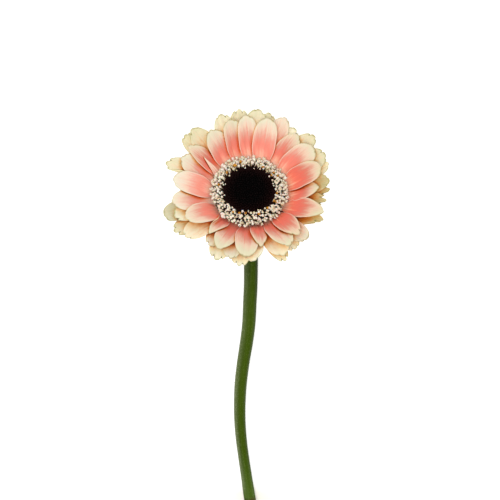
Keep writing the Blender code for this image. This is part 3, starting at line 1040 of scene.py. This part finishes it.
OPEN_OUTLINE = (  # (radius, height, how deeply it is lobed) from the foot to the mouth
    (0.2, -0.9, 0.0), (0.28, 0.2, 0.0), (0.42, 0.95, 0.05), (0.6, 1.4, 0.13),
    (0.56, 1.68, 0.17), (0.32, 1.84, 0.12), (0.1, 1.74, 0.0),
)
YOUNG_OUTLINE = (
    (0.18, -0.9, 0.0), (0.3, 0.3, 0.0), (0.44, 0.85, 0.06), (0.42, 1.2, 0.1), (0.2, 1.42, 0.1),
)
POLLEN_OUTLINE = (
    (0.2, 1.0, 0.0), (0.46, 1.3, 0.15), (0.5, 1.6, 0.2), (0.34, 1.9, 0.15), (0.12, 2.0, 0.0),
)
ANTHER_OUTLINE = ((0.12, 0.6, 0.0), (0.17, 1.6, 0.1), (0.17, 1.95, 0.1), (0.06, 2.2, 0.0))
BRISTLE_OUTLINE = ((0.07, 0.0, 0.0), (0.05, 1.2, 0.0), (0.02, 2.0, 0.0))


def lobed_mesh(name, outline, sides):
    """A closed tube or club whose rings are lobed, one lobe to every two sides."""
    verts, lobes = [], []
    for r, z, depth in outline:
        for k in range(sides):
            a = tau * k / sides
            lobed = r * (1 + (depth if k % 2 else -depth)) * (1 + depth * sin(a + 1))
            x = lobed * cos(a) + depth * z * 0.6
            verts.append(Vector((x, lobed * sin(a), z + depth * (k % 3))) * MM)
            lobes.append(min(max((z - 0.1) / 1.3, 0), 1))
    return solid(name, verts, tube_faces(len(outline), sides), lobe=lobes)


def floret_finish():
    """Cream lobes on a tube painted browner towards its foot as shade, with a touch of pink or straw in
    some.
    """
    finish, tree = new_finish("floret_cream")
    patches = noise(tree, 420.0)
    grain = noise(tree, 1900.0)
    creams = ((0.3, "CDB68C"), (0.43, "E8DBC0"), (0.58, "F4EADC"), (0.72, "ECD0C0"))
    shown = tinted(ramp(patches, creams), "C8B492", grain, 0.35, 0.55, 0.3, 0.0)
    # Painted shade: the tube darker and browner towards its foot, down among the other florets.
    shown = tinted(shown, "8A6E44", stored(tree, "lobe"), 0.2, 0.9, 0.8, 0.0)
    flesh = dict(Subsurface_Weight=0.2, Subsurface_Scale=0.0006)
    return surface(finish, shown, 0.5, grain, 0.3, **flesh)


def grain_finish(name, stops, scale):
    """A dry grainy finish that runs through a few like colours."""
    finish, tree = new_finish(name)
    grains = noise(tree, scale)
    return surface(finish, ramp(grains, stops), 0.8, grains, 0.6, Specular_IOR_Level=0.2)


cream_lobes = floret_finish()
pollen_colours = ((0.35, "7A4208"), (0.5, "B8760F"), (0.7, "D8A040"))
orange = grain_finish("pollen_orange", pollen_colours, 1100.0)
bristle_colours = ((0.3, "E0CC9C"), (0.5, "F0E2BC"), (0.7, "F6EED4"))
white_straw = grain_finish("bristle_straw", bristle_colours, 900.0)
# (piece, outline, sides, finish, spread, lift) and then the sizes that ROW_SIZES names
ROW_SIZES = ("First", "Count", "Share", "Lean", "Smallest", "Largest")
DISC_KINDS = (
    ("open_florets", OPEN_OUTLINE, 10, cream_lobes, 0.62, 0.0, 378, 362, 0.93, 0.8, 0.7, 1.05),
    ("young_florets", YOUNG_OUTLINE, 10, cream_lobes, 0.62, 0.15, 318, 60, 0.25, 0.3, 0.75, 0.95),
    ("anther_tubes", ANTHER_OUTLINE, 6, bud_black, 0.62, 0.0, 378, 362, 0.18, 0.7, 0.9, 1.0),
    ("pollen", POLLEN_OUTLINE, 8, orange, 0.66, 0.2, 338, 80, 0.17, 0.3, 1.0, 1.2),
    ("bristles", BRISTLE_OUTLINE, 3, white_straw, 0.25, 0.0, 3844, 300, 0.9, 0.9, 0.7, 1.0),
)
for name, outline, sides, finish, spread, lift, *sizes in DISC_KINDS:
    replaced = ["disc_open_florets"] if name == "open_florets" else []
    sizes = dict(zip(ROW_SIZES, sizes), jitter=0.2, Unruly=0.45, Uneven=0.35, Seed=17)
    sizes.update(spread=spread, lift=lift, replaced=replaced)
    grow_disc(name, lobed_mesh(name, outline, sides), "open_florets", finish, **sizes)
bpy.data.objects.remove(disc_floor)


# ---------------------------------------------------------------- Table, light and camera
# The flower lies on a plain white table under broad soft light. The camera looks almost
# straight down, from a little beyond the head, through a long lens.

EYE_HEIGHT = 8
TABLE_REACH = 3
TABLE_DROP = 0.0002
LIGHT_DISTANCE = 4.0
ROOM_STRENGTH = 0.78
VIEW_LEAN = radians(13)
LENS = 400
VIEW_WIDTH = 0.23  # how wide the view is where the eye of the flower is
AIM = Vector((0.46, -28.3, 0)) * MM  # from the flower's eye to the middle of the view

white, tree = new_finish("table_white")
place = put(tree, "ShaderNodeTexCoord").outputs["Object"]
spread = {"Location": (-0.03, 5.0, 0.0), "Scale": (27.0, 50.0, 1.0)}
shadow = result("ShaderNodeMapping", {0: place, **spread})
far = result("ShaderNodeVectorMath", {0: shadow}, "Value", operation="LENGTH")
painted_shadow = from_to(far, 0.95, 0.575, 0.0, 0.5)  # the table has a painted warm shadow about the cut end
lit = dict(Emission_Color=blend(painted_shadow, "FFFFFF", "988C78"), Emission_Strength=0.4)
surface(white, blend(painted_shadow, "F6F6F6", "D2C4AE"), 0.9, Specular_IOR_Level=0.1, **lit)
table_top = bpy.data.meshes.new("table")
corners = ((-1, -1), (1, -1), (1, 1), (-1, 1))
corners = [(x * TABLE_REACH, y * TABLE_REACH, -TABLE_DROP) for x, y in corners]
table_top.from_pydata(corners, [], [(0, 1, 2, 3)])
table_top.materials.append(white)
add("table", table_top)

room = bpy.data.worlds.new("room")
room.use_nodes = True
fill(room.node_tree.nodes["Background"], {"Color": "FFFFFF", "Strength": ROOM_STRENGTH})
bpy.context.scene.world = room
bpy.context.scene.view_settings.view_transform = "Standard"

eye = HEAD @ Vector((0, 0, EYE_HEIGHT * MM))
for name, way, size, power in (
    ("window", Vector((-0.1, 0.15, 1.0)), 1.6, 70.0),
    ("reflector", Vector((-1.0, -0.1, 0.45)), 2.0, 20.0),
):
    lamp = bpy.data.lights.new(name, "AREA")
    lamp.energy = power
    lamp.size = size
    light = add(name, lamp)
    light.location = eye + way.normalized() * LIGHT_DISTANCE
    light.rotation_euler = way.to_track_quat("Z", "Y").to_euler()

lens = bpy.data.cameras.new("camera")
lens.lens = LENS
camera = add("camera", lens)
turned = Matrix.Rotation(-VIEW_LEAN, 3, "X")
aim = eye + turned @ AIM
camera.location = aim + turned @ Vector((0, 0, VIEW_WIDTH * LENS / lens.sensor_width))
camera.rotation_euler = turned.to_euler()
lens.clip_end = 10
bpy.context.scene.camera = camera
